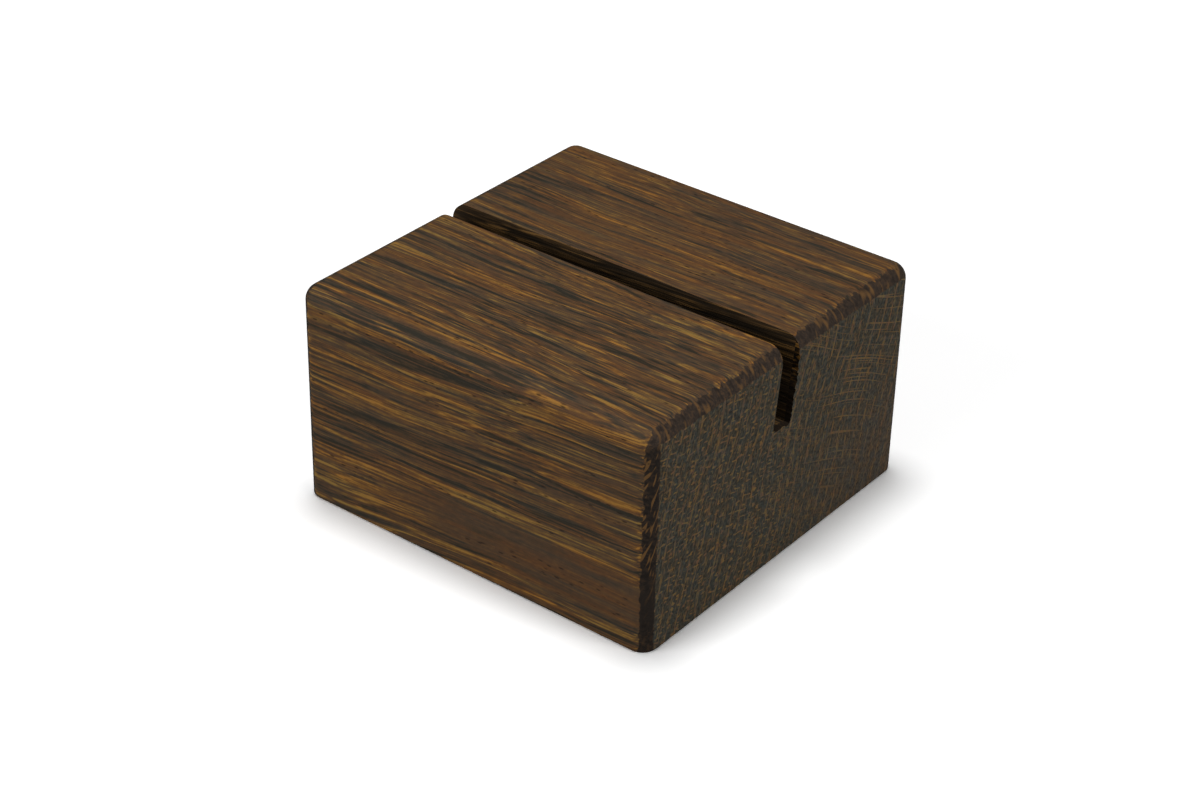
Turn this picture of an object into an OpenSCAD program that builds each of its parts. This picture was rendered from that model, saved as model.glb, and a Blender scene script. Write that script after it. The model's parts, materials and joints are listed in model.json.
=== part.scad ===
// Place card holder: one block of dark oiled hardwood with a leaning saw slot.
// The slot and the grain run along X. The front face looks along -Y.
// The card leans back, towards +Y.
// The origin is the middle of the flat underside, which rests on the table.

/* [Block] */
// Length along the slot and the grain, from end face to end face
block_length = 50; // [30:1:100]
// Depth from the front face to the back face
block_depth = 49.5; // [30:0.5:100]
// Height from the table to the top face
block_height = 28; // [16:0.5:60]

/* [Edges] */
// Radius of the round-over along the top edges and down the four corners
round_over = 2; // [0.5:0.1:5]
// Radius of the slight easing round the underside
base_ease = 0.3; // [0.1:0.1:0.5]

/* [Card slot] */
// Width of the slot, square to its walls: one pass of a saw blade
slot_width = 3.2; // [1:0.1:6]
// Depth of the slot below the top face, measured down its middle plane
slot_depth = 10.2; // [4:0.1:14]
// Angle between the slot and the upright, which tips the card back
slot_lean = 7.5; // [0:0.5:20]
// Distance from the middle of the top face back to the middle of the slot's mouth
slot_setback = 0.4; // [-10:0.1:10]

/* [Hidden] */
$fn = 96;
// The saw blade passes this far beyond the wood, above it and at both ends
overrun = slot_width;
// Middles of the four rounded corners, from the middle of the block
corner_x = block_length / 2 - round_over;
corner_y = block_depth / 2 - round_over;
// Height at which the round-over of the top edges starts
shoulder = block_height - round_over;

// Quarter disc in the corner between two straight runs
module quarter_disc(radius) {
    intersection() {
        circle(r = radius);
        square(radius);
    }
}

// Right half of a cross-section, from the middle plane out to one face
module half_section(reach) {
    // Between the easing below and the round-over above
    translate([0, base_ease])
        square([reach, shoulder - base_ease]);
    // Inside the easing
    if (reach > base_ease)
        square([reach - base_ease, base_ease]);
    translate([reach - base_ease, base_ease])
        mirror([0, 1])
            quarter_disc(base_ease);
    // Inside the round-over
    if (reach > round_over)
        translate([0, shoulder])
            square([reach - round_over, round_over]);
    translate([reach - round_over, shoulder])
        quarter_disc(round_over);
}

// Both halves of a cross-section
module section(half_width) {
    half_section(half_width);
    mirror([1, 0])
        half_section(half_width);
}

// Bar of the full depth, between the corners of the two end faces
module long_bar() {
    rotate([90, 0, 90])
        linear_extrude(height = 2 * corner_x, center = true)
            section(block_depth / 2);
}

// Bar of the full length, between the corners of the front and back faces
module cross_bar() {
    rotate([90, 0, 0])
        linear_extrude(height = 2 * corner_y, center = true)
            section(block_length / 2);
}

// Quarter of a round post, which fills the corner between the bars
module corner_post() {
    rotate_extrude(angle = 90)
        half_section(round_over);
}

// The blank before it is slotted
module rounded_blank() {
    long_bar();
    cross_bar();
    for (side = [0, 1])
        mirror([side, 0, 0])
            for (face = [0, 1])
                mirror([0, face, 0])
                    translate([corner_x, corner_y, 0])
                        corner_post();
}

// What the saw blade takes out, leaning forward at its foot
module saw_cut() {
    translate([0, slot_setback, block_height])
        rotate([-slot_lean, 0, 0])
            translate([-block_length / 2 - overrun, -slot_width / 2, -slot_depth])
                cube([block_length + 2 * overrun, slot_width, slot_depth + overrun]);
}

// The whole holder: one piece of wood
module block() {
    color("#4f3d2b")
        difference() {
            rounded_blank();
            saw_cut();
        }
}

block();
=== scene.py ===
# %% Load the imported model
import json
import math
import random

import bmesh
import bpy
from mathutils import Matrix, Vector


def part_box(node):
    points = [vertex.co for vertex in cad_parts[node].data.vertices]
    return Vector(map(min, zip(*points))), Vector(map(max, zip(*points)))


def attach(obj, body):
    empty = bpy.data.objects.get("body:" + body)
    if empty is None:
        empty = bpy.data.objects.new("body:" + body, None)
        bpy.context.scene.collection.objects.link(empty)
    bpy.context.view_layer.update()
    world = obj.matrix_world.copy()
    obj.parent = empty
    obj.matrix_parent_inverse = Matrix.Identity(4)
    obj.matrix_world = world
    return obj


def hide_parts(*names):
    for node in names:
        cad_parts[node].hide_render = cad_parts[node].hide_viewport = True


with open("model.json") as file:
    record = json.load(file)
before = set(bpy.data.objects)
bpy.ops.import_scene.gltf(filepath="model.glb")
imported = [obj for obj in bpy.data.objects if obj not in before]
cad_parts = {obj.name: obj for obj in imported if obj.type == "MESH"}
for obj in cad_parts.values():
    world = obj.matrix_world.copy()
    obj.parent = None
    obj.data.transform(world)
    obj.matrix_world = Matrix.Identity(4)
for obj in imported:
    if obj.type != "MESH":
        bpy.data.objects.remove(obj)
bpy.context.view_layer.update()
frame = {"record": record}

# %% [markdown]
# # A place card holder in dark oiled oak
#
# The object is one piece of wood: a low square block with rounded edges and one leaning saw
# cut across its top, in which a card stands. There is nothing to assemble, so this lesson is
# about making one block well. We model it in the order in which it was made: saw the blank,
# round its edges over, run it across a saw blade, and look at what the blade tore. Then we grow
# a solid wood pattern in it, so that every face shows what a saw would uncover there.
#
# The loaded model gives the real sizes. It is in metres, with the block's underside at z = 0.
# The grain and the slot run along X, and the front looks along -Y.

MM = 0.001
low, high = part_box("block")
LENGTH, DEPTH, HEIGHT = high - low
print("block of", [round(side / MM, 2) for side in (LENGTH, DEPTH, HEIGHT)], "mm")

# %% [markdown]
# ## Sizes that the box doesn't give
#
# The slot's place and lean come from the record, which states them as the interface for the
# card. The rest are the real sizes that the solid was built from: a 2 mm round-over, a slight
# easing at the foot, and a slot as wide as one saw blade.

# %% Named sizes
ROUND_OVER = 2.0 * MM
BASE_EASE = 0.3 * MM
SLOT_WIDTH = 3.2 * MM
SLOT_DEPTH = 10.2 * MM
slot = next(mount for mount in frame["record"]["mounts"] if mount["name"] == "card_slot")
MOUTH = Vector(slot["pos_m"])
SLOT_UP = Vector(slot["axis"]).normalized()
LEAN = math.atan2(SLOT_UP.y, SLOT_UP.z)
print("slot leans", round(math.degrees(LEAN), 2), "degrees, mouth at", tuple(MOUTH))

# %% [markdown]
# ## The blank
#
# A cube is scaled to the block's size. Bevelling its top and upright edges together gives the
# round-over, and where three bevelled edges meet Blender closes the corner with part of a
# sphere, as a sander does. The foot gets its own, much smaller bevel.

# %% The rounded blank
ROUND_SEGMENTS = 12
EASE_SEGMENTS = 3
TINY = 0.01 * MM


def round_edges(bm, edges, radius, segments):
    """Rounds edges over with a circular profile."""
    bmesh.ops.bevel(bm, geom=edges, offset=radius, offset_type="OFFSET", segments=segments,
                    profile=0.5, affect="EDGES", material=-1, clamp_overlap=False)


def rounded_blank():
    """The block before it is slotted."""
    bm = bmesh.new()
    bmesh.ops.create_cube(bm, size=1)
    bmesh.ops.scale(bm, vec=(LENGTH, DEPTH, HEIGHT), verts=bm.verts)
    bmesh.ops.translate(bm, vec=(0, 0, HEIGHT / 2), verts=bm.verts)
    upper = [edge for edge in bm.edges if max(v.co.z for v in edge.verts) > HEIGHT / 2]
    round_edges(bm, upper, ROUND_OVER, ROUND_SEGMENTS)
    foot = [edge for edge in bm.edges if all(v.co.z < TINY for v in edge.verts)]
    round_edges(bm, foot, BASE_EASE, EASE_SEGMENTS)
    return bm


bm = rounded_blank()
print("blank:", len(bm.verts), "vertices,", len(bm.faces), "faces")

# %% [markdown]
# ## The saw cut
#
# A saw leaves a slot with flat walls and sharp lips. We slice the blank's skin along the two
# walls and the foot of the cut, take away what lies between them, and close the opening with
# two walls and a floor. A Boolean modifier would do the same, but slicing with planes keeps
# the rounded ends of the lips exactly on the blank's own curve and leaves no stray faces.

# %% Where the blade ran
SLOT_ACROSS = Vector((0, math.cos(LEAN), -math.sin(LEAN)))
FOOT = MOUTH - SLOT_UP * SLOT_DEPTH
FRONT_WALL = MOUTH - SLOT_ACROSS * SLOT_WIDTH / 2
BACK_WALL = MOUTH + SLOT_ACROSS * SLOT_WIDTH / 2
print("lips at y", round(FRONT_WALL.y / MM, 2), "and", round(BACK_WALL.y / MM, 2), "mm")


def on_plane(item, point, normal):
    """True where all corners of an edge or a face lie on a plane."""
    return all(abs((v.co - point).dot(normal)) < TINY for v in item.verts)


def slice_skin(bm, point, normal, faces=None):
    """Cuts faces along a plane, or the whole skin."""
    faces = faces or bm.faces[:]
    edges = {edge for face in faces for edge in face.edges}
    verts = {vert for face in faces for vert in face.verts}
    bmesh.ops.bisect_plane(bm, geom=[*verts, *edges, *faces], dist=TINY / 10,
                           plane_co=point, plane_no=normal)


# %% Cut the slot and close it
SANDED, SAWN, TORN = 0, 1, 2


def in_slot(point):
    """True between the walls and above the foot of the cut."""
    across = (point - MOUTH).dot(SLOT_ACROSS)
    return abs(across) < SLOT_WIDTH / 2 - TINY and (point - FOOT).dot(SLOT_UP) > TINY


def close_side(bm, point, normal):
    """Fills the open loop that lies on one plane of the cut."""
    loop = [edge for edge in bm.edges if len(edge.link_faces) < 2 and on_plane(edge, point, normal)]
    for face in bmesh.ops.contextual_create(bm, geom=loop)["faces"]:
        face.material_index = SAWN


def saw_slot(bm):
    """Opens the slot in the blank's skin and closes it with two walls and a floor."""
    slice_skin(bm, FRONT_WALL, SLOT_ACROSS)
    slice_skin(bm, BACK_WALL, SLOT_ACROSS)
    slice_skin(bm, FOOT, SLOT_UP)
    waste = [face for face in bm.faces if in_slot(face.calc_center_median())]
    bmesh.ops.delete(bm, geom=waste, context="FACES")
    for point in (FRONT_WALL, BACK_WALL):
        ends = [vert for vert in bm.verts if vert.is_boundary
                and abs((vert.co - point).dot(SLOT_ACROSS)) < TINY
                and abs((vert.co - FOOT).dot(SLOT_UP)) < TINY]
        bm.edges.new(ends)
    close_side(bm, FRONT_WALL, SLOT_ACROSS)
    close_side(bm, BACK_WALL, SLOT_ACROSS)
    close_side(bm, FOOT, SLOT_UP)
    bmesh.ops.recalc_face_normals(bm, faces=bm.faces)


saw_slot(bm)
print("slotted:", len(bm.faces), "faces, open edges:", sum(edge.is_boundary for edge in bm.edges))

# %% [markdown]
# ## Torn fibres where the blade left the wood
#
# Where the blade came out, at the right end, it tore the last fibres instead of cutting them.
# The back wall's outer edge is ragged there, with pale broken tips near the top. We slice the
# last 0.7 mm of the back wall and the floor into short strips, and push the corners of every
# strip into the wood by a random but repeatable amount.

# %% Ragged edge
TEAR_LENGTH = 0.7 * MM
TEAR_SPACING = 0.28 * MM
SHALLOWEST_TEAR = 0.05
TEAR_DEPTH = 0.42 * MM
EXIT = Vector((LENGTH / 2 - TEAR_LENGTH, 0, 0))
X_AXIS = Vector((1, 0, 0))
chance = random.Random(7)


def outer_strips(bm, wall, inward):
    """The faces of one sawn plane that lie beyond the exit line."""
    return [face for face in bm.faces if on_plane(face, wall, inward)
            and face.calc_center_median().x > EXIT.x]


def tear_exit(bm, wall, inward, along, length):
    """Cuts one sawn face near the right end into strips and pushes their outer corners inward."""
    faces = [face for face in bm.faces if on_plane(face, wall, inward)]
    slice_skin(bm, EXIT, X_AXIS, faces)
    steps = int(length / TEAR_SPACING)
    for step in range(1, steps):
        slice_skin(bm, wall + along * step * length / steps, along, outer_strips(bm, wall, inward))
    torn = outer_strips(bm, wall, inward)
    rim = {vert for face in torn for vert in face.verts if vert.co.x > LENGTH / 2 - TINY}
    for vert in sorted(rim, key=lambda v: v.co.dot(along)):
        height = (vert.co - wall).dot(along)
        if TEAR_SPACING / 2 < height < length - TEAR_SPACING / 2:
            vert.co += inward * chance.uniform(SHALLOWEST_TEAR, 1.0) * TEAR_DEPTH
    for face in torn:
        face.material_index = TORN
    return torn


WALL_HEIGHT = SLOT_DEPTH - ROUND_OVER
back_strips = tear_exit(bm, BACK_WALL - SLOT_UP * SLOT_DEPTH, SLOT_ACROSS, SLOT_UP, WALL_HEIGHT)
floor_strips = tear_exit(bm, FOOT - SLOT_ACROSS * SLOT_WIDTH / 2, -SLOT_UP, SLOT_ACROSS, SLOT_WIDTH)
print("torn strips:", len(back_strips), "on the wall,", len(floor_strips), "on the floor")

# %% [markdown]
# ## The finished mesh
#
# The round-overs are shaded smooth and the lips of the slot stay sharp. The edge angle decides
# which is which. The piece replaces the plain CAD block and rides on the part's only body.

# %% Mesh and object
SHARP = math.radians(30)
mesh = bpy.data.meshes.new("oak_block")
bm.to_mesh(mesh)
bm.free()
mesh.polygons.foreach_set("use_smooth", [True] * len(mesh.polygons))
mesh.set_sharp_from_angle(angle=SHARP)
block = bpy.data.objects.new("oak_block", mesh)
bpy.context.scene.collection.objects.link(block)
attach(block, "root")
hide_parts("block")
print("mesh:", len(mesh.vertices), "vertices,", len(mesh.polygons), "faces")

# %% [markdown]
# ## Two helpers for every material
#
# Colours are written as they look on a screen and turned to the linear values that the shader
# wants. A node tree is a recipe of small steps, and one helper adds any step of it: it sets
# what is a number, links what comes out of another node, and hands back the new node's output.
# A Mix node has its own sockets for numbers and for colours, so those get names here.

# %% Colours and nodes
NUMBER_A, NUMBER_B = 2, 3
COLOUR_A, COLOUR_B, COLOUR_OUT = 6, 7, 2


def srgb(code):
    """A hex screen colour as linear values."""
    parts = [int(code[i:i + 2], 16) / 255 for i in (1, 3, 5)]
    linear = [p / 12.92 if p <= 0.04045 else ((p + 0.055) / 1.055) ** 2.4 for p in parts]
    return (*linear, 1)


def add(tree, kind, inputs, output=0, stops=(), **settings):
    """Adds a node with its settings and links, and returns one of its outputs."""
    node = tree.nodes.new(kind)
    for name, value in settings.items():
        setattr(node, name, value)
    for key, value in inputs.items():
        if isinstance(value, bpy.types.NodeSocket):
            tree.links.new(value, node.inputs[key])
        else:
            node.inputs[key].default_value = value
    for index, (position, code) in enumerate(stops):
        elements = node.color_ramp.elements
        stop = elements[index] if index < len(elements) else elements.new(position)
        stop.position = position
        stop.color = srgb(code)
    return node.outputs[output] if node.outputs else node


def new_tree(name):
    """A material with an empty node tree."""
    material = bpy.data.materials.new(name)
    material.use_nodes = True
    material.node_tree.nodes.clear()
    return material.node_tree


print("oak brown #4b3826 is", [round(part, 3) for part in srgb("#4b3826")], "in linear values")

# %% [markdown]
# ## The wood's own space
#
# Solid wood is a bundle of fibres along X. Its growth rings are sheets along the fibres, here
# 1.7 mm apart, and on the end face they lean 16 degrees from upright. The fibres also rise a
# little towards the right. We turn the block's Object coordinates to follow them, count in
# millimetres, and bend the result gently, because no tree is straight. The rings take the wide
# bend only, the fibres a finer one too. Object coordinates belong to the solid, so the pattern
# runs on round every edge by itself.

# %% Grain coordinates
RING_LEAN = math.radians(16)
FIBRE_RISE = math.radians(2.6)
FIBRE_DRIFT = math.radians(0.9)
WIDE_BEND = ((40, 12, 12), 2.2)
FINE_BEND = ((10, 3, 3), 0.45)


def bent(tree, place, size, push):
    """Coordinates pushed sideways by noise of a size, both in mm."""
    cells = add(tree, "ShaderNodeMapping", {"Vector": place, "Scale": [1 / side for side in size]})
    wobble = add(tree, "ShaderNodeTexNoise", {"Vector": cells, "Scale": 1, "Detail": 0}, "Color")
    shift = add(tree, "ShaderNodeVectorMath", {0: wobble, 1: (0, push, push),
                                               2: (0, -push / 2, -push / 2)}, operation="MULTIPLY_ADD")
    return add(tree, "ShaderNodeVectorMath", {0: place, 1: shift}, operation="ADD")


def grain_space(tree):
    """The block's coordinates in mm, and the same turned and bent along the rings and the fibres."""
    place = add(tree, "ShaderNodeTexCoord", {}, "Object")
    block_mm = add(tree, "ShaderNodeMapping", {"Vector": place, "Scale": (1 / MM, 1 / MM, 1 / MM)})
    turned = add(tree, "ShaderNodeMapping", {"Vector": block_mm,
                                             "Rotation": (RING_LEAN, FIBRE_RISE, FIBRE_DRIFT)})
    rings = bent(tree, turned, *WIDE_BEND)
    return block_mm, rings, bent(tree, rings, *FINE_BEND)


def streaks(tree, place, size, start, full, shift=0.0, detail=0):
    """Streaks of a size in mm: 0 where the noise is at start, 1 where it is at full."""
    cells = add(tree, "ShaderNodeMapping", {"Vector": place, "Location": (shift, shift, shift),
                                            "Scale": [1 / side for side in size]})
    noise = add(tree, "ShaderNodeTexNoise", {"Vector": cells, "Scale": 1, "Detail": detail})
    return add(tree, "ShaderNodeMapRange", {"Value": noise, "From Min": start, "From Max": full})


# %% [markdown]
# ## Side grain
#
# On the top, the front and the back the fibres lie in the surface. The eye sees thin gold
# lines, mauve-brown wood between them and slate-grey streaks, in every width from a tenth of a
# millimetre to 2 mm. So the tone is a sum of streak layers, each with its real width, length
# and contrast. A ramp then turns the tone from slate through brown to gold.

# %% Tone of the side grain
GRAIN_LAYERS = (
    # length and width in mm, noise level where the streak starts and where it is full, tone, seed
    (30, 3.6, 0.25, 0.75, 0.12, 2.0),
    (34, 1.5, 0.30, 0.70, 0.22, 5.0),
    (28, 0.60, 0.37, 0.63, 0.22, 11.0),
    (12, 0.28, 0.37, 0.63, 0.20, 17.0),
    (3, 0.13, 0.30, 0.70, 0.24, 31.0),
    (60, 0.24, 0.60, 0.66, 0.28, 43.0),
    (40, 0.55, 0.41, 0.34, -0.32, 53.0),
)
GROUND_TONE = -0.02
GRIT_SHARE = 0.22
TONE_STOPS = ((0.0, "#2b261d"), (0.16, "#393024"), (0.44, "#4f3927"), (0.62, "#5b4228"),
              (0.8, "#6d4f28"), (1.0, "#8a6630"))


def grain_tone(tree, grain):
    """The sum of all streak layers, mostly between 0 and 1."""
    tone = GROUND_TONE
    for length, width, start, full, share, seed in GRAIN_LAYERS:
        layer = streaks(tree, grain, (length, width, width), start, full, seed)
        tone = add(tree, "ShaderNodeMath", {0: layer, 1: share, 2: tone}, operation="MULTIPLY_ADD")
    return tone


print(len(GRAIN_LAYERS), "layers of streaks")

# %% [markdown]
# ## The streaks that everyone would know it by
#
# Noise gives the right kind of grain, but this block also has streaks of its own: a slate lens
# near the slot, a long gold line above the front edge, a dark wedge on the front. Each is a
# flattened ellipsoid in the wood, placed one by one. A Mapping node of the Texture type turns an
# ellipsoid into a unit ball, and a spherical gradient is 1 at its middle and 0 at its skin.

# %% Placed streaks
FRONT = -DEPTH / MM / 2
TOP = HEIGHT / MM
TOP_DARK = (
    # x, y, half length and half width in mm, rise in degrees towards the back
    (-0.7, -7.0, 5.8, 0.8, 0),
    (11.6, -8.2, 4.6, 0.5, 8.9),
    (13.7, -13.0, 5.2, 0.5, 10.8),
    (4.3, -16.3, 3.8, 0.35, 0),
    (15.5, -17.4, 9.4, 0.65, 12.3),
    (-6.5, -14.2, 5.8, 0.5, -5),
    (-17.5, -19.8, 7.0, 0.32, -5.3),
    (-9.2, 16.5, 5.0, 0.55, -1),
    (14.1, 8.2, 10.0, 0.4, -0.5),
    (-17.6, 9.9, 5.8, 0.55, -1),
    (16.0, 20.6, 6.0, 0.45, 1),
)
TOP_GOLD = (
    (-9.5, -21.2, 15.0, 0.24, -1.3),
    (18.9, -22.2, 6.0, 0.4, 0),
    (6.0, -15.9, 6.0, 0.3, 0),
    (-6.0, -9.7, 7.5, 0.3, 0),
    (10.9, -11.9, 2.4, 0.8, -20),
    (18.4, -5.3, 6.5, 0.5, 0),
    (9.5, -2.6, 15.0, 0.16, -1),
    (1.5, 9.5, 7.5, 0.22, -1),
    (16.4, 16.8, 8.0, 0.28, -1),
    (-19.7, 5.65, 4.5, 0.16, 0),
)
FRONT_DARK = (
    # x, z, half length and half width in mm, rise in degrees
    (-15.7, 14.3, 9.0, 0.5, 7.4),
    (-19.4, 8.9, 6.5, 0.6, 1),
    (4.5, 11.4, 21.0, 0.32, 2.4),
    (8.5, 15.9, 17.0, 0.3, 1.2),
    (-18.7, 23.3, 6.0, 0.35, 2),
    (9.5, 27.5, 4.2, 0.4, 1),
)
FRONT_GOLD = (
    (0.0, 19.9, 26.0, 0.2, 2.6),
    (0.0, 21.6, 26.0, 0.28, 2.8),
    (8.3, 9.8, 17.0, 0.5, 0.5),
    (-19.5, 3.4, 8.0, 1.6, 0),
    (-14.0, 7.6, 8.5, 0.8, 5),
    (18.0, 1.5, 7.5, 0.35, 3),
    # This streak on the rounded top edge of the front is partly gold grain and partly a painted
    # highlight, the glow of sheen there.
    (-11.8, 27.3, 5.6, 0.5, -5),
    (-5.0, 26.2, 7.0, 0.16, -3),
    (-1.0, 25.3, 6.5, 0.14, -2),
)


def on_top(streak):
    """Centre, turn and half lengths of a streak in the top face."""
    x, y, half, width, rise = streak
    return (x, y, TOP), (0, 0, math.radians(rise)), (half, width, width)


def on_front(streak):
    """Centre, turn and half lengths of a streak in the front face."""
    x, z, half, width, rise = streak
    return (x, FRONT, z), (0, -math.radians(rise), 0), (half, width * 2, width)


def placed(tree, place, ellipsoids):
    """1 in the middle of any of the ellipsoids and 0 outside them all."""
    strongest = 0.0
    for centre, turn, half in ellipsoids:
        ball = add(tree, "ShaderNodeMapping", {"Vector": place, "Location": centre, "Rotation": turn,
                                               "Scale": half}, vector_type="TEXTURE")
        depth = add(tree, "ShaderNodeTexGradient", {"Vector": ball}, gradient_type="SPHERICAL")
        strongest = add(tree, "ShaderNodeMath", {0: strongest, 1: depth}, operation="MAXIMUM")
    return strongest


dark_streaks = [on_top(s) for s in TOP_DARK] + [on_front(s) for s in FRONT_DARK]
gold_streaks = [on_top(s) for s in TOP_GOLD] + [on_front(s) for s in FRONT_GOLD]
print(len(dark_streaks), "dark and", len(gold_streaks), "gold streaks placed by eye")

# %% [markdown]
# ## Calm and lively wood, and a painted sheen
#
# The grain isn't equally lively all over. It is liveliest on the front, but almost plain at
# the lower right of it. Behind the slot the top is calmer and also carries a painted sheen: its
# tone is drawn lighter and flatter there, as a grazing reflection would make it. So the tone is
# drawn towards its average or away from it, and calm wood is a little darker too. Fine noise
# frays the placed streaks, or they would look painted. The hue wanders by itself, cooler in one
# streak and warmer in the next, at the same brightness.

# %% Side grain colour
CALM_CENTRE = (12.0, FRONT, 6.0)
CALM_HALF = (25.0, 8.0, 4.0)
CALM_CORE = 0.35
CALMEST = 0.28
# From the front to the slot the contrast falls and the average rises: partly calmer grain, partly a
# painted sheen.
FRONT_TO_SLOT = {"From Min": -24, "From Max": 6}
CONTRAST_AND_BACK_SHEEN = {"To Min": 1.26, "To Max": 0.84}
AVERAGE_AND_BACK_SHEEN = {"To Min": 0.33, "To Max": 0.5}
LIFT = 0.14
FRAY_SIZE = (9, 0.2, 0.2)
FRAY_PUSH = (5.0, 0.14, 0.14)
GOLD_CORE, GOLD_TONE = 0.35, 0.3
DARK_CORE, DARK_TONE = 0.4, -0.28
# Size in mm, noise level where it starts and where it is full, seed, finer detail
GRIT = ((0.9, 0.4, 0.4), 0.25, 0.75, 97.0, 2)
SIDE_HUES = (
    # Streaks, then the tint where there are none and the tint inside them
    (((16, 1.3, 1.3), 0.35, 0.65, 83.0), (0.92, 1.0, 1.09, 1), (1.10, 1.0, 0.87, 1)),
    (((7, 0.5, 0.5), 0.35, 0.65, 89.0), (0.95, 1.0, 1.04, 1), (1.06, 1.0, 0.94, 1)),
)


def lively_tone(tree, block_mm, grain):
    """Tone of the streak layers, more or less lively from place to place, lifted and flattened behind
    the slot by a painted sheen.
    """
    calm = placed(tree, block_mm, [(CALM_CENTRE, (0, 0, 0), CALM_HALF)])
    calm = add(tree, "ShaderNodeMapRange", {"Value": calm, "From Max": CALM_CORE,
                                            "To Min": 1.0, "To Max": CALMEST})
    behind = add(tree, "ShaderNodeSeparateXYZ", {0: block_mm}, "Y")
    contrast = add(tree, "ShaderNodeMapRange", {"Value": behind, **FRONT_TO_SLOT, **CONTRAST_AND_BACK_SHEEN})
    average = add(tree, "ShaderNodeMapRange", {"Value": behind, **FRONT_TO_SLOT, **AVERAGE_AND_BACK_SHEEN})
    average = add(tree, "ShaderNodeMath", {0: calm, 1: LIFT, 2: average}, operation="MULTIPLY_ADD")
    lively = add(tree, "ShaderNodeMath", {0: calm, 1: contrast}, operation="MULTIPLY")
    layers = grain_tone(tree, grain)
    return add(tree, "ShaderNodeMix", {0: lively, NUMBER_A: average, NUMBER_B: layers},
               clamp_factor=False)


def frayed_place(tree, block_mm, grain):
    """The block's coordinates, frayed along the fibres by fine noise around 0."""
    cells = add(tree, "ShaderNodeMapping", {"Vector": grain, "Scale": [1 / side for side in FRAY_SIZE]})
    fray = add(tree, "ShaderNodeTexNoise", {"Vector": cells, "Scale": 1, "Detail": 0}, "Color")
    fray = add(tree, "ShaderNodeVectorMath", {0: fray, 1: (0.5, 0.5, 0.5)}, operation="SUBTRACT")
    return add(tree, "ShaderNodeVectorMath", {0: fray, 1: FRAY_PUSH, 2: block_mm},
               operation="MULTIPLY_ADD")


def tinted(tree, colour, place, hues):
    """A colour made cooler and warmer by streaks."""
    for pattern, cool, warm in hues:
        warmth = streaks(tree, place, *pattern)
        tint = add(tree, "ShaderNodeMix", {0: warmth, COLOUR_A: cool, COLOUR_B: warm},
                   COLOUR_OUT, data_type="RGBA")
        colour = add(tree, "ShaderNodeMix", {0: 1.0, COLOUR_A: colour, COLOUR_B: tint},
                     COLOUR_OUT, data_type="RGBA", blend_type="MULTIPLY")
    return colour


def side_grain(tree, block_mm, grain):
    """Tone and colour where the fibres lie in the surface."""
    tone = lively_tone(tree, block_mm, grain)
    frayed = frayed_place(tree, block_mm, grain)
    dark = placed(tree, frayed, dark_streaks)
    dark = add(tree, "ShaderNodeMapRange", {"Value": dark, "From Max": DARK_CORE})
    gold = placed(tree, frayed, gold_streaks)
    gold = add(tree, "ShaderNodeMapRange", {"Value": gold, "From Max": GOLD_CORE})
    tone = add(tree, "ShaderNodeMath", {0: gold, 1: GOLD_TONE, 2: tone}, operation="MULTIPLY_ADD")
    tone = add(tree, "ShaderNodeMath", {0: dark, 1: DARK_TONE, 2: tone}, operation="MULTIPLY_ADD")
    grit = streaks(tree, grain, *GRIT)
    grit = add(tree, "ShaderNodeMath", {0: grit, 1: GRIT_SHARE, 2: -GRIT_SHARE / 2},
               operation="MULTIPLY_ADD")
    tone = add(tree, "ShaderNodeMath", {0: tone, 1: grit}, operation="ADD")
    colour = add(tree, "ShaderNodeValToRGB", {"Fac": tone}, stops=TONE_STOPS)
    return tone, tinted(tree, colour, grain, SIDE_HUES)


print("contrast", CONTRAST_AND_BACK_SHEEN["To Min"], "at the front and", CONTRAST_AND_BACK_SHEEN["To Max"], "behind the slot")

# %% [markdown]
# ## The net on the end grain
#
# The two ends show the fibres cut across. Dashes lie along the growth rings, and small curls
# cross them, mostly near the front. A thin broken ochre line follows every ring. It is clearer
# towards the back, where thin rays cross it. The noise hardly changes along the fibres, so the
# marks look the same at any depth. Each kind has its real size. A PINGPONG node measures how
# far the nearest ring is. Curls and rays don't cross the rings quite squarely, so each kind
# is turned a little, and the rays fade towards the foot.

# %% Ochre net
THROUGH = 25
DASHES = (
    # Size in mm (through the block, across the rings, along them), levels, seed, then strength
    ((THROUGH, 0.25, 0.9), 0.60, 0.72, 3.0, 0.9),
    ((THROUGH, 0.28, 3.0), 0.63, 0.75, 13.0, 0.8),
)
CURLS = ((THROUGH, 0.8, 0.3), 0.605, 0.71, 19.0)
RAYS = ((THROUGH, 14.0, 0.2), 0.675, 0.75, 29.0)
CURL_TURN = (math.radians(-8), 0, 0)
RAY_TURN = (math.radians(8), 0, 0)
TO_THE_BACK = {"From Min": -6, "From Max": 10}
CURL_STRENGTH = {"To Min": 0.95, "To Max": 0.25}
LINE_STRENGTH = {"To Min": 0.6, "To Max": 0.85}
RAY_STRENGTH = {"From Min": 4, "From Max": 17, "To Min": 0.55, "To Max": 1.0}
RING_SPACING = 1.7
RING_GAPS = ((THROUGH, 0.5, 1.2), 0.43, 0.53, 41.0)
RING_LINE = {"From Min": 0.18, "From Max": 0.09}
NEAR_RING = {"From Min": 0.15, "From Max": 0.6, "To Min": 1.0, "To Max": 0.5}


def ring_lines(tree, rings):
    """How near each point is to a ring, as a strength for dashes and as a thin broken line."""
    across = add(tree, "ShaderNodeSeparateXYZ", {0: rings}, "Y")
    away = add(tree, "ShaderNodeMath", {0: across, 1: RING_SPACING / 2}, operation="PINGPONG")
    near = add(tree, "ShaderNodeMapRange", {"Value": away, **NEAR_RING})
    line = add(tree, "ShaderNodeMapRange", {"Value": away, **RING_LINE})
    gaps = streaks(tree, rings, *RING_GAPS)
    return near, add(tree, "ShaderNodeMath", {0: line, 1: gaps}, operation="MULTIPLY")


def by_place(tree, pattern, place, strength):
    """A pattern that is stronger in one place than in another."""
    share = add(tree, "ShaderNodeMapRange", {"Value": place, **strength})
    return add(tree, "ShaderNodeMath", {0: pattern, 1: share}, operation="MULTIPLY")


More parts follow.
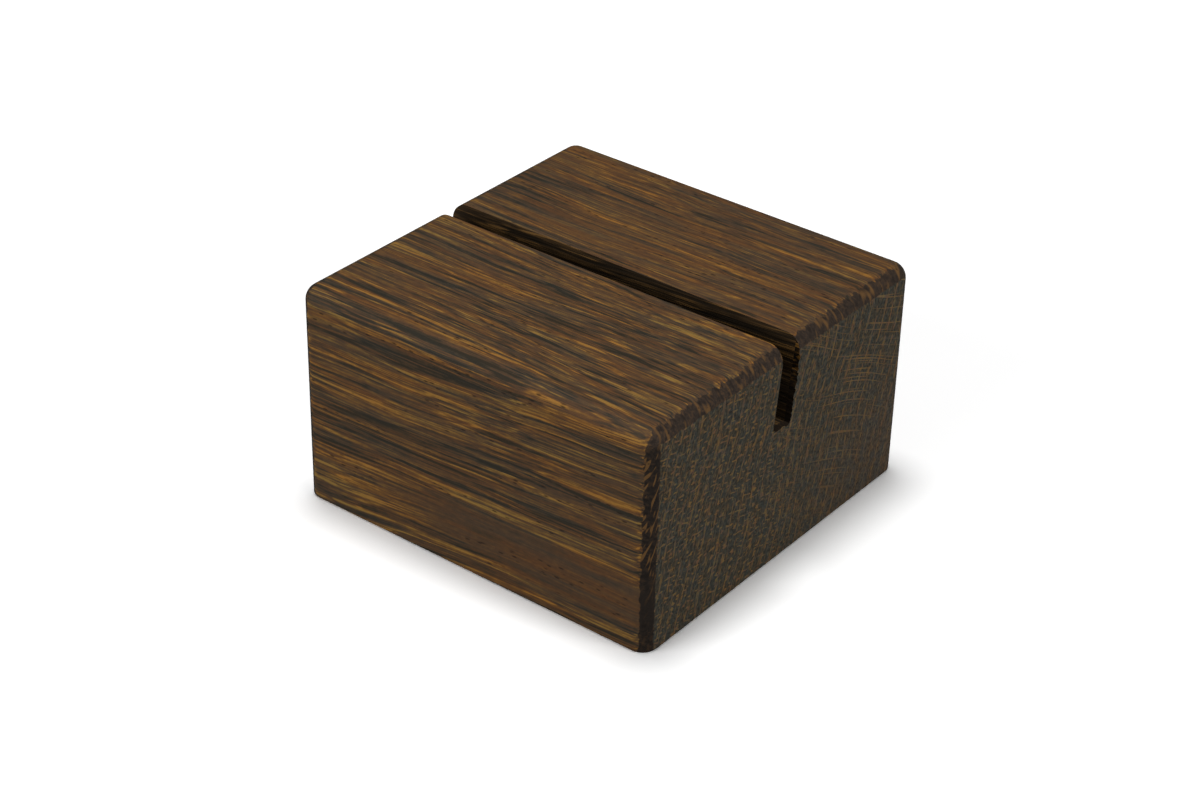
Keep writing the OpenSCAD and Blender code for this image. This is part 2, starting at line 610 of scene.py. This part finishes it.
def ochre_net(tree, block_mm, rings, grain):
    """How much ochre the dashes, the lines, the curls and the rays bring to each point."""
    net = 0.0
    for *pattern, strength in DASHES:
        dash = streaks(tree, rings, *pattern)
        dash = add(tree, "ShaderNodeMath", {0: dash, 1: strength}, operation="MULTIPLY")
        net = add(tree, "ShaderNodeMath", {0: net, 1: dash}, operation="MAXIMUM")
    near, line = ring_lines(tree, rings)
    net = add(tree, "ShaderNodeMath", {0: net, 1: near}, operation="MULTIPLY")
    back = add(tree, "ShaderNodeSeparateXYZ", {0: block_mm}, "Y")
    back = add(tree, "ShaderNodeMapRange", {"Value": back, **TO_THE_BACK})
    line = by_place(tree, line, back, LINE_STRENGTH)
    level = add(tree, "ShaderNodeMapping", {"Vector": grain, "Rotation": CURL_TURN})
    curls = by_place(tree, streaks(tree, level, *CURLS), back, CURL_STRENGTH)
    steep = add(tree, "ShaderNodeMapping", {"Vector": rings, "Rotation": RAY_TURN})
    rays = add(tree, "ShaderNodeMath", {0: streaks(tree, steep, *RAYS), 1: back}, operation="MULTIPLY")
    height = add(tree, "ShaderNodeSeparateXYZ", {0: block_mm}, "Z")
    rays = by_place(tree, rays, height, RAY_STRENGTH)
    for marks in (line, curls, rays):
        net = add(tree, "ShaderNodeMath", {0: net, 1: marks}, operation="MAXIMUM")
    return net


print("net of", len(DASHES), "kinds of dashes, curls, rays, and rings every", RING_SPACING, "mm")

# %% [markdown]
# ## End grain
#
# Under the net lies a slate-grey ground, mottled by the fibres and warmer towards the lower
# back, where the net grows weaker. The ochre itself is yellower in one place and pinker in
# the next.

# %% End grain colours
SLATE, WARM = "#36342d", "#453a31"
OCHRE, PINK_OCHRE = "#705a36", "#654d3b"
WARM_CORNER = ((0.0, 22.0, 3.0), (0, 0, 0), (60.0, 24.0, 17.0))
NET_IN_CORNER = {"From Max": 0.8, "To Min": 1.0, "To Max": 0.5}
MOTTLE = ((THROUGH, 0.32, 0.4), 0.25, 0.75, 37.0, 2)
MOTTLE_SHADE = {"To Min": 0.3, "To Max": 1.76}
PINKISH = ((THROUGH, 0.5, 0.5), 0.4, 0.6, 47.0)
END_HUES = (
    (((THROUGH, 1.6, 2.2), 0.35, 0.65, 101.0), (0.92, 1.0, 1.06, 1), (1.09, 1.0, 0.87, 1)),
    (((THROUGH, 0.6, 0.9), 0.35, 0.65, 103.0), (0.94, 1.0, 1.05, 1), (1.06, 1.0, 0.95, 1)),
)


def end_grain(tree, block_mm, rings, grain):
    """Colours of the end faces."""
    warmth = placed(tree, block_mm, [WARM_CORNER])
    ground = add(tree, "ShaderNodeMix", {0: warmth, COLOUR_A: srgb(SLATE), COLOUR_B: srgb(WARM)},
                 COLOUR_OUT, data_type="RGBA")
    shade = add(tree, "ShaderNodeMapRange", {"Value": streaks(tree, rings, *MOTTLE), **MOTTLE_SHADE})
    ground = add(tree, "ShaderNodeVectorMath", {0: ground, "Scale": shade}, operation="SCALE")
    pinkish = streaks(tree, rings, *PINKISH)
    ochre = add(tree, "ShaderNodeMix", {0: pinkish, COLOUR_A: srgb(OCHRE), COLOUR_B: srgb(PINK_OCHRE)},
                COLOUR_OUT, data_type="RGBA")
    plainer = add(tree, "ShaderNodeMapRange", {"Value": warmth, **NET_IN_CORNER})
    net = ochre_net(tree, block_mm, rings, grain)
    net = add(tree, "ShaderNodeMath", {0: net, 1: plainer}, operation="MULTIPLY")
    colour = add(tree, "ShaderNodeMix", {0: net, COLOUR_A: ground, COLOUR_B: ochre},
                 COLOUR_OUT, data_type="RGBA")
    return tinted(tree, colour, rings, END_HUES)


print("end grain from slate", SLATE, "to ochre", OCHRE)

# %% [markdown]
# ## The dark band at the ends
#
# The round-over between side and end drank more oil than either. It shows the streaks of the
# side grain, stained dark brown along the top and nearly black down the corners. Ochre strokes
# cross it where the rings come out, and fade out towards the foot.

# %% Dark band
BAND_STOPS = ((0.1, "#251d17"), (0.5, "#302720"), (1.0, "#443324"))
BAND_STROKE = "#644828"
TOP_STROKES = ((THROUGH, 0.6, 1.4), 0.57, 0.79, 53.0)
CORNER_STROKES = ((THROUGH, 0.26, 1.7), 0.58, 0.66, 71.0)
STROKES_BY_HEIGHT = {"From Min": 7, "From Max": 11, "To Min": 0.1, "To Max": 0.85}
ON_TOP = {"From Min": TOP - 2.2, "From Max": TOP - 1.4}
CORNER_SHADE = (0.58, 0.6, 0.62, 1)
TOP_SHADE = (1, 1, 1, 1)


def dark_band(tree, block_mm, rings, tone):
    """Colours of the round-over at the ends: side grain stained dark, with ochre strokes."""
    stained = add(tree, "ShaderNodeValToRGB", {"Fac": tone}, stops=BAND_STOPS)
    height = add(tree, "ShaderNodeSeparateXYZ", {0: block_mm}, "Z")
    above = add(tree, "ShaderNodeMapRange", {"Value": height, **ON_TOP})
    on_corner = streaks(tree, rings, *CORNER_STROKES)
    on_top_band = streaks(tree, rings, *TOP_STROKES)
    stroke = add(tree, "ShaderNodeMix", {0: above, NUMBER_A: on_corner, NUMBER_B: on_top_band})
    share = add(tree, "ShaderNodeMapRange", {"Value": height, **STROKES_BY_HEIGHT})
    stroke = add(tree, "ShaderNodeMath", {0: stroke, 1: share}, operation="MULTIPLY")
    shade = add(tree, "ShaderNodeMix", {0: above, COLOUR_A: CORNER_SHADE, COLOUR_B: TOP_SHADE},
                COLOUR_OUT, data_type="RGBA")
    stained = add(tree, "ShaderNodeMix", {0: 1.0, COLOUR_A: stained, COLOUR_B: shade},
                  COLOUR_OUT, data_type="RGBA", blend_type="MULTIPLY")
    return add(tree, "ShaderNodeMix", {0: stroke, COLOUR_A: stained, COLOUR_B: srgb(BAND_STROKE)},
               COLOUR_OUT, data_type="RGBA")


print("strokes fade out below", STROKES_BY_HEIGHT["From Max"], "mm")

# %% [markdown]
# ## Which surface is where
#
# Plain distances in the block decide what kind of surface a point is on. The dark band starts
# 1.2 mm from the end, with teeth where the oil crept further along the soft rings. It stops
# 1.5 mm inside the edges of the end face, where the border is almost straight.

# %% Where side grain ends
BAND_FROM_END, BAND_BLUR = 1.16, 0.05
FACE_FROM_EDGE, FACE_BLUR = 1.45, 0.06
BAND_TEETH = ((THROUGH, 0.8, 1.3), 0.35, 0.65, 61.0, 2)
TEETH = 0.5
TEETH_BY_HEIGHT = {"To Min": 0.45, "To Max": 1.0}
FINE_JAGS = ((1.0, 0.5, 0.5), 0.25, 0.75, 67.0)
JAG = 0.14
FAR_FACES = (LENGTH / MM / 2, DEPTH / MM / 2, HEIGHT / MM)


def borders(tree, block_mm, rings):
    """1 from the band outwards, and 1 inside the end face."""
    teeth = streaks(tree, rings, *BAND_TEETH)
    teeth = add(tree, "ShaderNodeMath", {0: teeth, 1: TEETH, 2: -TEETH / 2}, operation="MULTIPLY_ADD")
    height = add(tree, "ShaderNodeSeparateXYZ", {0: block_mm}, "Z")
    longer = add(tree, "ShaderNodeMapRange", {"Value": height, **ON_TOP, **TEETH_BY_HEIGHT})
    teeth = add(tree, "ShaderNodeMath", {0: teeth, 1: longer}, operation="MULTIPLY")
    jag = streaks(tree, rings, *FINE_JAGS)
    jag = add(tree, "ShaderNodeMath", {0: jag, 1: JAG, 2: -JAG / 2}, operation="MULTIPLY_ADD")
    shift = add(tree, "ShaderNodeCombineXYZ", {"X": teeth, "Y": jag, "Z": jag})
    mirrored = add(tree, "ShaderNodeVectorMath", {0: block_mm}, operation="ABSOLUTE")
    inset = add(tree, "ShaderNodeVectorMath", {0: FAR_FACES, 1: mirrored}, operation="SUBTRACT")
    inset = add(tree, "ShaderNodeVectorMath", {0: inset, 1: shift}, operation="ADD")
    from_end = add(tree, "ShaderNodeSeparateXYZ", {0: inset}, "X")
    sides = from_end.node.outputs
    from_edge = add(tree, "ShaderNodeMath", {0: sides["Y"], 1: sides["Z"]}, operation="MINIMUM")
    band = add(tree, "ShaderNodeMapRange", {"Value": from_end, "From Min": BAND_FROM_END + BAND_BLUR,
                                            "From Max": BAND_FROM_END - BAND_BLUR})
    face = add(tree, "ShaderNodeMapRange", {"Value": from_edge, "From Min": FACE_FROM_EDGE - FACE_BLUR,
                                            "From Max": FACE_FROM_EDGE + FACE_BLUR})
    return band, face


print("band", round(BAND_FROM_END, 1), "mm from the end, teeth", TEETH, "mm deep")

# %% [markdown]
# ## Pores
#
# Oak has open vessels, thin tubes along the fibres. On the ends they are dots, on the sides
# short dark scratches. Voronoi cells stretched along the grain give one tube to each cell, and
# a patchy mask keeps them in loose rows.

# %% Pores
PORE_CELL = (1.8, 0.5, 0.5)
PORE_EDGE = 0.26
PORE_ROWS = ((26, 1.5, 1.5), 0.52, 0.62, 5.0)


def pores(tree, grain):
    """1 in the middle of a vessel."""
    cells = add(tree, "ShaderNodeMapping", {"Vector": grain, "Scale": [1 / side for side in PORE_CELL]})
    distance = add(tree, "ShaderNodeTexVoronoi", {"Vector": cells, "Scale": 1}, "Distance")
    tube = add(tree, "ShaderNodeMapRange", {"Value": distance, "From Min": PORE_EDGE,
                                            "From Max": PORE_EDGE / 2})
    rows = streaks(tree, grain, *PORE_ROWS)
    return add(tree, "ShaderNodeMath", {0: tube, 1: rows}, operation="MULTIPLY")


print("one vessel to", PORE_CELL[1], "mm across and", PORE_CELL[0], "mm along")

# %% [markdown]
# ## Finish of the outside: fumed oak, sanded and oiled
#
# Fuming turns oak dark right through. Sanding to a fine grit leaves it flat, but the open
# grain still breaks the shine, so the oil gives a soft sheen and no mirror. The roughness is
# 0.65 to 0.75, and most of the usual reflection is taken away, since the pores swallow it. A
# bump of a few hundredths of a millimetre follows the same streaks as the colour.

# %% Sanded oak
OIL_IOR = 1.47
SANDED_ROUGHNESS = {"To Min": 0.65, "To Max": 0.75}
SANDED_SPECULAR = 0.15
SANDED_BUMP = {"Distance": 0.04 * MM, "Strength": 0.6}
PORE_BROWN, PORE_SHARE, PORE_DEPTH = "#1c120b", 0.75, -0.8

tree = new_tree("fumed_oak_sanded_oiled")
block_mm, rings, grain = grain_space(tree)
tone, side = side_grain(tree, block_mm, grain)
face_colour = end_grain(tree, block_mm, rings, grain)
band_colour = dark_band(tree, block_mm, rings, tone)
band, face = borders(tree, block_mm, rings)
end = add(tree, "ShaderNodeMix", {0: face, COLOUR_A: band_colour, COLOUR_B: face_colour},
          COLOUR_OUT, data_type="RGBA")
colour = add(tree, "ShaderNodeMix", {0: band, COLOUR_A: side, COLOUR_B: end},
             COLOUR_OUT, data_type="RGBA")
hole = pores(tree, grain)
share = add(tree, "ShaderNodeMath", {0: hole, 1: PORE_SHARE}, operation="MULTIPLY")
colour = add(tree, "ShaderNodeMix", {0: share, COLOUR_A: colour, COLOUR_B: srgb(PORE_BROWN)},
             COLOUR_OUT, data_type="RGBA")
relief = add(tree, "ShaderNodeMath", {0: hole, 1: PORE_DEPTH, 2: tone}, operation="MULTIPLY_ADD")
bump = add(tree, "ShaderNodeBump", {"Height": relief, **SANDED_BUMP})
sheen = add(tree, "ShaderNodeMapRange", {"Value": tone, **SANDED_ROUGHNESS})
shader = add(tree, "ShaderNodeBsdfPrincipled", {"Base Color": colour, "Roughness": sheen, "IOR": OIL_IOR,
                                                "Specular IOR Level": SANDED_SPECULAR, "Normal": bump})
add(tree, "ShaderNodeOutputMaterial", {"Surface": shader})
mesh.materials.append(bpy.data.materials["fumed_oak_sanded_oiled"])
print("sanded oak:", len(tree.nodes), "nodes")

# %% [markdown]
# ## Finish of the slot: fumed oak, straight from the saw
#
# Nobody sands inside a 3 mm slot. The sawn walls are fuzzy, drink oil until they are almost
# black, and throw back hardly any light. Only a few brown fibres show in them.

# %% Sawn oak
SAWN_STOPS = ((0.0, "#110d07"), (0.5, "#261c10"), (0.75, "#3f2e19"), (1.0, "#6c4f2a"))
SAWN_LIGHTEST = 0.9
SAWN_ROUGHNESS = 0.8
SAWN_SPECULAR = 0.1
SAWN_BUMP = {"Distance": 0.1 * MM, "Strength": 0.8}

tree = new_tree("fumed_oak_sawn")
block_mm, rings, grain = grain_space(tree)
fibres = add(tree, "ShaderNodeMapRange", {"Value": grain_tone(tree, grain), "From Max": SAWN_LIGHTEST})
colour = add(tree, "ShaderNodeValToRGB", {"Fac": fibres}, stops=SAWN_STOPS)
bump = add(tree, "ShaderNodeBump", {"Height": fibres, **SAWN_BUMP})
shader = add(tree, "ShaderNodeBsdfPrincipled", {"Base Color": colour, "Roughness": SAWN_ROUGHNESS,
                                                "IOR": OIL_IOR, "Specular IOR Level": SAWN_SPECULAR,
                                                "Normal": bump})
add(tree, "ShaderNodeOutputMaterial", {"Surface": shader})
mesh.materials.append(bpy.data.materials["fumed_oak_sawn"])
print("sawn oak:", len(tree.nodes), "nodes")

# %% [markdown]
# ## Finish of the torn edge
#
# Broken fibre ends took up little oil and are pale ochre near the top of the slot. Further down
# they are painted as dark as the walls: painted shade, deeper in the slot.

# %% Torn fibres
TORN_DARK, TORN_PALE = "#1a130c", "#8a6128"
TIPS = ((5, 0.3, 0.3), 0.45, 0.7, 5.0)
# Painted shade: the pale tips fade to dark further down in the slot.
PALE_ABOVE_PAINTED_SHADE = {"From Min": TOP - 6, "From Max": TOP - 2.5, "To Min": 0.03, "To Max": 0.9}

tree = new_tree("torn_oak_fibres")
block_mm = grain_space(tree)[0]
height = add(tree, "ShaderNodeSeparateXYZ", {0: block_mm}, "Z")
pale = add(tree, "ShaderNodeMapRange", {"Value": height, **PALE_ABOVE_PAINTED_SHADE})
tips = streaks(tree, block_mm, *TIPS)
tips = add(tree, "ShaderNodeMath", {0: tips, 1: pale}, operation="MULTIPLY")
colour = add(tree, "ShaderNodeMix", {0: tips, COLOUR_A: srgb(TORN_DARK), COLOUR_B: srgb(TORN_PALE)},
             COLOUR_OUT, data_type="RGBA")
shader = add(tree, "ShaderNodeBsdfPrincipled", {"Base Color": colour, "Roughness": SAWN_ROUGHNESS,
                                                "IOR": OIL_IOR, "Specular IOR Level": SAWN_SPECULAR})
add(tree, "ShaderNodeOutputMaterial", {"Surface": shader})
mesh.materials.append(bpy.data.materials["torn_oak_fibres"])
print("torn fibres:", len(tree.nodes), "nodes")

# %% [markdown]
# ## Camera
#
# The camera stands where the outline of the block fits best: 37 degrees round to the right of
# the front, 32 degrees up, and a little over six block lengths away. The picture is turned by
# a degree and a half, as it would be with a hand-held camera.

# %% Camera
PHOTO_WIDTH = 1200
FOCAL_PIXELS = 2582.4
SENSOR = 36
NEAREST = 0.01
AZIMUTH = math.radians(37.41)
ELEVATION = math.radians(31.65)
ROLL = math.radians(-1.39)
AWAY = 6.1452 * LENGTH
RIGHT_OF_VIEW = 0.0102 * LENGTH
BELOW_VIEW = 0.1879 * LENGTH

towards = Vector((math.sin(AZIMUTH) * math.cos(ELEVATION), -math.cos(AZIMUTH) * math.cos(ELEVATION),
                  math.sin(ELEVATION)))
level_right = towards.cross(Vector((0, 0, -1))).normalized()
level_down = level_right.cross(towards)
right = math.cos(ROLL) * level_right + math.sin(ROLL) * level_down
down = -math.sin(ROLL) * level_right + math.cos(ROLL) * level_down
stand = AWAY * towards - RIGHT_OF_VIEW * right - BELOW_VIEW * down

camera_data = bpy.data.cameras.new("camera")
camera_data.sensor_width = SENSOR
camera_data.lens = FOCAL_PIXELS / PHOTO_WIDTH * SENSOR
camera_data.clip_start = NEAREST
camera = bpy.data.objects.new("camera", camera_data)
camera.matrix_world = Matrix.Translation(stand) @ Matrix((right, -down, towards)).transposed().to_4x4()
bpy.context.scene.collection.objects.link(camera)
bpy.context.scene.camera = camera
print("lens", round(camera_data.lens, 1), "mm at", [round(part / MM) for part in stand], "mm")

# %% [markdown]
# ## White table
#
# The picture's ground is pure white, and yet it shows a soft shadow. For the camera the table
# is brighter than white, so that only the shadow comes below white. For the light that bounces
# on to the block it is a plain grey, so that it doesn't wash out the dark wood.

# %% Table
TABLE_SIZE = 2
SEEN_WHITE = (1.25, 1.25, 1.25, 1)
BOUNCE_GREY = (0.3, 0.3, 0.3, 1)
table_bm = bmesh.new()
bmesh.ops.create_grid(table_bm, x_segments=1, y_segments=1, size=TABLE_SIZE)
table_mesh = bpy.data.meshes.new("table")
table_bm.to_mesh(table_mesh)
table_bm.free()
table = bpy.data.objects.new("table", table_mesh)
bpy.context.scene.collection.objects.link(table)

tree = new_tree("white_paper")
seen = add(tree, "ShaderNodeLightPath", {}, "Is Camera Ray")
grey = add(tree, "ShaderNodeBsdfDiffuse", {"Color": BOUNCE_GREY})
white = add(tree, "ShaderNodeBsdfDiffuse", {"Color": SEEN_WHITE})
paper = add(tree, "ShaderNodeMixShader", {0: seen, 1: grey, 2: white})
add(tree, "ShaderNodeOutputMaterial", {"Surface": paper})
table_mesh.materials.append(bpy.data.materials["white_paper"])
print("table of", table_mesh.vertices[1].co.x - table_mesh.vertices[0].co.x, "m")

# %% [markdown]
# ## Light
#
# A softbox almost straight overhead lights the top and drops a short shadow to the right and
# to the front. Two low ones light the front and the end without brightening the table. All
# stand away from where the camera would see them mirrored, or a grey haze would hide the
# grain. The world adds a little light from everywhere.

# %% Lights
AIM = Vector((0, 0, HEIGHT / 2))
SOFTBOXES = (
    # name, place and width in m, power in W
    ("overhead", (-0.06, 0.04, 0.75), 0.24, 3.1),
    ("front_fill", (-0.35, -0.9, 0.28), 0.9, 8.4),
    ("side_fill", (0.95, 0.1, 0.3), 0.5, 5.5),
)
WORLD_LIGHT = 0.1


def softbox(name, place, width, watts):
    """A round lamp that looks at the block."""
    data = bpy.data.lights.new(name, "AREA")
    data.shape = "DISK"
    data.size = width
    data.energy = watts
    lamp = bpy.data.objects.new(name, data)
    lamp.location = place
    lamp.rotation_euler = (AIM - lamp.location).to_track_quat("-Z", "Y").to_euler()
    bpy.context.scene.collection.objects.link(lamp)


for name, place, width, watts in SOFTBOXES:
    softbox(name, place, width, watts)
world = bpy.data.worlds.new("studio")
bpy.context.scene.world = world
world.use_nodes = True
backdrop = world.node_tree.nodes["Background"].inputs
backdrop["Color"].default_value = (1, 1, 1, 1)
backdrop["Strength"].default_value = WORLD_LIGHT
bpy.context.scene.view_settings.view_transform = "Standard"
print(len(bpy.data.lights), "softboxes")
